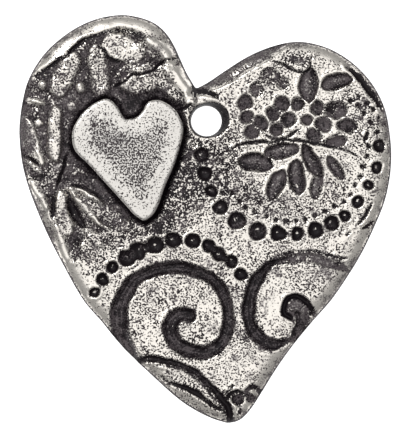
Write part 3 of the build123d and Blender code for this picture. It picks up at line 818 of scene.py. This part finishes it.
def slab(name, outline, relief, distance, face, rim, base, back_round, side, painted_edge_shade, holed=False):
    """A closed slab: the relief on top, a rounded rim, a side wall, a rounded edge and a flat underside. The
    side has its own patina, and the thin line where it meets the rim is darkened as painted shade."""
    shell = Shell()
    on_face = distance > RIM_SHARES[0] * rim[0] + 0.07
    on_back = distance > back_round + 0.15
    if holed:
        on_face &= np.hypot(X, Y) > hole_mouth(np.arctan2(Y, X)) + 0.42
        on_back &= np.hypot(X, Y) > HOLE_RADIUS + 0.4

    height = relief.height()
    keep = whole_cells(on_face)
    z = face + height - rim_drop(distance, *rim)
    numbers = shell.add(X, Y, z, relief.patina, relief.film).reshape(X.shape)
    shell.sheet(keep, numbers)
    top = face - rim[1] + sample(height, *outline.T)
    rings = add_rim(shell, outline, relief, face, rim, painted_edge_shade)
    rings += add_side(shell, outline, top, base + back_round, back_round, side, painted_edge_shade)
    for upper, lower in zip(rings, rings[1:]):
        shell.band(upper, lower)
    wells = add_hole(shell, relief, face) if holed else []
    for upper, lower in zip(wells, wells[1:]):
        shell.band(lower, upper)
    shell.stitch(keep, numbers, [rings[0]] + wells[:1], GRID)

    coarse = (slice(None, None, BACK_STEPS), slice(None, None, BACK_STEPS))
    keep = whole_cells(on_back[coarse])
    pitted = base + 0.03 * np.clip(mottle(0.6)[coarse], 0, 2)
    numbers = shell.add(X[coarse], Y[coarse], pitted, 0.35, 0.35).reshape(pitted.shape)
    shell.sheet(keep, numbers, up=False)
    shell.stitch(keep, numbers, [rings[-1]] + wells[-1:], GRID * BACK_STEPS, up=False)
    return shell.mesh(name)


# ---- materials ----

class Nodes:
    """A short way to build a material's node tree."""

    def __init__(self, name):
        self.material = bpy.data.materials.new(name)
        self.material.use_nodes = True
        self.tree = self.material.node_tree
        self.shader = self.tree.nodes["Principled BSDF"]

    def node(self, kind, settings=None, **inputs):
        """A new node with its settings, and its inputs by name, or by number as i0, i1 and so on."""
        made = self.tree.nodes.new(kind)
        for key, value in (settings or {}).items():
            setattr(made, key, value)
        for key, value in inputs.items():
            self.put(made, key.replace("_", " "), value)
        return made

    def put(self, made, key, value):
        """Links an input to another node's output, or sets its value."""
        socket = made.inputs[int(key[1:])] if key[0] == "i" and key[1:].isdigit() else made.inputs[key]
        if isinstance(value, bpy.types.NodeSocket):
            self.tree.links.new(value, socket)
        else:
            socket.default_value = value

    def math(self, operation, a, b):
        return self.node("ShaderNodeMath", {"operation": operation}, i0=a, i1=b).outputs[0]

    def noise(self, place, scale, detail, roughness=0.5):
        made = self.node("ShaderNodeTexNoise", Vector=place, Scale=scale, Detail=detail, Roughness=roughness)
        return made.outputs["Fac"]

    def spread(self, value, low, high, to_low=0.0, to_high=1.0):
        """The value run smoothly from one range into another."""
        made = self.node("ShaderNodeMapRange", {"interpolation_type": "SMOOTHSTEP"}, Value=value,
                         From_Min=low, From_Max=high, To_Min=to_low, To_Max=to_high)
        return made.outputs["Result"]

    def blend(self, factor, a, b):
        """One colour turning into another."""
        made = self.node("ShaderNodeMix", {"data_type": "RGBA"})
        self.put(made, "i0", factor)
        self.put(made, "i6", a)
        self.put(made, "i7", b)
        return made.outputs[2]


def pewter(name, metal, grain):
    """Cast pewter: bare metal, greyer under its film, with dark oxide in specks and hollows. In places the
    film and the patina also carry painted shade and painted highlights.
    """
    n = Nodes(name)
    place = n.node("ShaderNodeTexCoord").outputs["Object"]
    patina = n.node("ShaderNodeAttribute", {"attribute_name": "patina"}).outputs["Fac"]
    film = n.node("ShaderNodeAttribute", {"attribute_name": "film"}).outputs["Fac"]
    fine = n.noise(place, grain, 1.5)
    clump = n.noise(place, grain * CLUMP_SCALE, 3.0, 0.6)

    # the patina, lifted and lowered by the specks, is oxide wherever it comes out above a half
    speck = n.math("ADD", n.math("MULTIPLY", fine, 1 - CLUMP_SHARE), n.math("MULTIPLY", clump, CLUMP_SHARE))
    lifted = n.math("MULTIPLY", n.math("SUBTRACT", speck, 0.5), SPECK_CONTRAST)
    amount = n.math("ADD", patina, lifted)
    dark = n.spread(amount, 0.42, 0.58)
    dull = n.spread(n.math("ADD", film, n.math("MULTIPLY", amount, 0.35)), 0.0, 1.0)
    pale = n.spread(n.math("SUBTRACT", film, n.math("MULTIPLY", amount, 0.8)), -1.6, 0.2)
    n.put(n.shader, "Base Color", n.blend(dark, n.blend(dull, *metal), n.blend(pale, *OXIDE)))
    n.put(n.shader, "Metallic", n.spread(dark, 0.0, 1.0, 1.0, 0.0))
    n.put(n.shader, "Specular IOR Level", n.spread(dark, 0.0, 1.0, 0.5, 0.15))

    # specks make it rougher, and oxide sinks below the metal
    ruffled = n.math("MULTIPLY", fine, 0.4)
    n.put(n.shader, "Roughness", n.spread(n.math("ADD", dark, ruffled), 0.0, 1.4, 0.28, 0.5))
    bump = n.node("ShaderNodeBump", Height=n.math("SUBTRACT", ruffled, dark), Strength=0.7,
                  Distance=BUMP_HEIGHT)
    n.put(n.shader, "Normal", bump.outputs["Normal"])
    return n.material


def white_table():
    """The lit white table under the pendant."""
    n = Nodes("white_table")
    fibre = n.noise(n.node("ShaderNodeTexCoord").outputs["Object"], 900.0, 3.0)
    n.put(n.shader, "Base Color", n.blend(fibre, *TABLE))
    n.put(n.shader, "Roughness", 0.9)
    n.put(n.shader, "Emission Color", (1, 1, 1, 1))
    n.put(n.shader, "Emission Strength", 0.9)
    return n.material


# ---- the scene ----

def add_body(little):
    """The pendant's casting, with its seat for the little heart."""
    relief, outline, distance = pendant_relief(little)
    body = slab("pendant_cast", outline, relief, distance, FACE, (RIM_WIDTH, RIM_DROP), 0.0, BACK_ROUND,
                side=0.1, painted_edge_shade=2.6, holed=True)
    body.data.materials.append(pewter("antiqued_pewter", BODY_METAL, BODY_GRAIN))
    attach(body, "root")
    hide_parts("pendant_body")


def add_little_heart(little):
    """The plain raised heart in its seat."""
    relief, distance = little_relief(little)
    heart = slab("little_heart_cast", little, relief, distance, FACE + LITTLE_TOP,
                 (LITTLE_RIM_WIDTH, LITTLE_RIM_DROP), FACE - SEAT_DEPTH, LITTLE_BACK_ROUND,
                 side=1.0, painted_edge_shade=0.2)
    heart.data.materials.append(pewter("plain_pewter", LITTLE_METAL, LITTLE_GRAIN))
    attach(heart, "root")
    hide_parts("little_heart")


def add_floor():
    """The table, a hair below the pendant."""
    bpy.ops.mesh.primitive_plane_add(size=FLOOR_SIZE, location=(MIDDLE[0], MIDDLE[1], -FLOOR_GAP))
    floor = bpy.context.object
    floor.name = "floor"
    floor.data.materials.append(white_table())


def add_light(name, place, size, power):
    """A square soft light of this size and power that points at the pendant."""
    data = bpy.data.lights.new(name, "AREA")
    data.shape = "SQUARE"
    data.size = size
    data.energy = power
    light = bpy.data.objects.new(name, data)
    light.location = place
    light.rotation_euler = (Vector(MIDDLE) - Vector(place)).to_track_quat("-Z", "Y").to_euler()
    bpy.context.scene.collection.objects.link(light)


def add_world(horizon, zenith):
    """A plain white tent, dimmer towards the horizon."""
    world = bpy.data.worlds.new("studio")
    world.use_nodes = True
    tree = world.node_tree
    direction = tree.nodes.new("ShaderNodeTexCoord")
    split = tree.nodes.new("ShaderNodeSeparateXYZ")
    fade = tree.nodes.new("ShaderNodeMapRange")
    fade.inputs["From Min"].default_value = 0.1
    fade.inputs["From Max"].default_value = 0.9
    fade.inputs["To Min"].default_value = horizon
    fade.inputs["To Max"].default_value = zenith
    tree.links.new(direction.outputs["Generated"], split.inputs[0])
    tree.links.new(split.outputs["Z"], fade.inputs["Value"])
    tree.links.new(fade.outputs["Result"], tree.nodes["Background"].inputs["Strength"])
    tree.nodes["Background"].inputs["Color"].default_value = (1, 1, 1, 1)
    bpy.context.scene.world = world


def add_camera():
    """A long lens that looks straight down at the face."""
    data = bpy.data.cameras.new("camera")
    data.lens = FOCAL_LENGTH
    data.clip_start = 0.01
    camera = bpy.data.objects.new("camera", data)
    camera.location = (CAMERA_X, CAMERA_Y, FACE * MM + VIEW_HEIGHT * data.lens / data.sensor_width)
    bpy.context.scene.collection.objects.link(camera)
    bpy.context.scene.camera = camera


little_outline = heart_outline(LITTLE_LEFT, LITTLE_RIGHT, LITTLE_STEP, softening=2)
add_body(little_outline)
add_little_heart(little_outline)
add_floor()
add_light("softbox", (-0.05, 0.07, 0.43), size=0.62, power=1.18)
add_light("key", (-0.18, 0.22, 0.34), size=0.1, power=0.5)
add_world(horizon=0.3, zenith=0.55)
add_camera()
bpy.context.scene.view_settings.view_transform = "Standard"
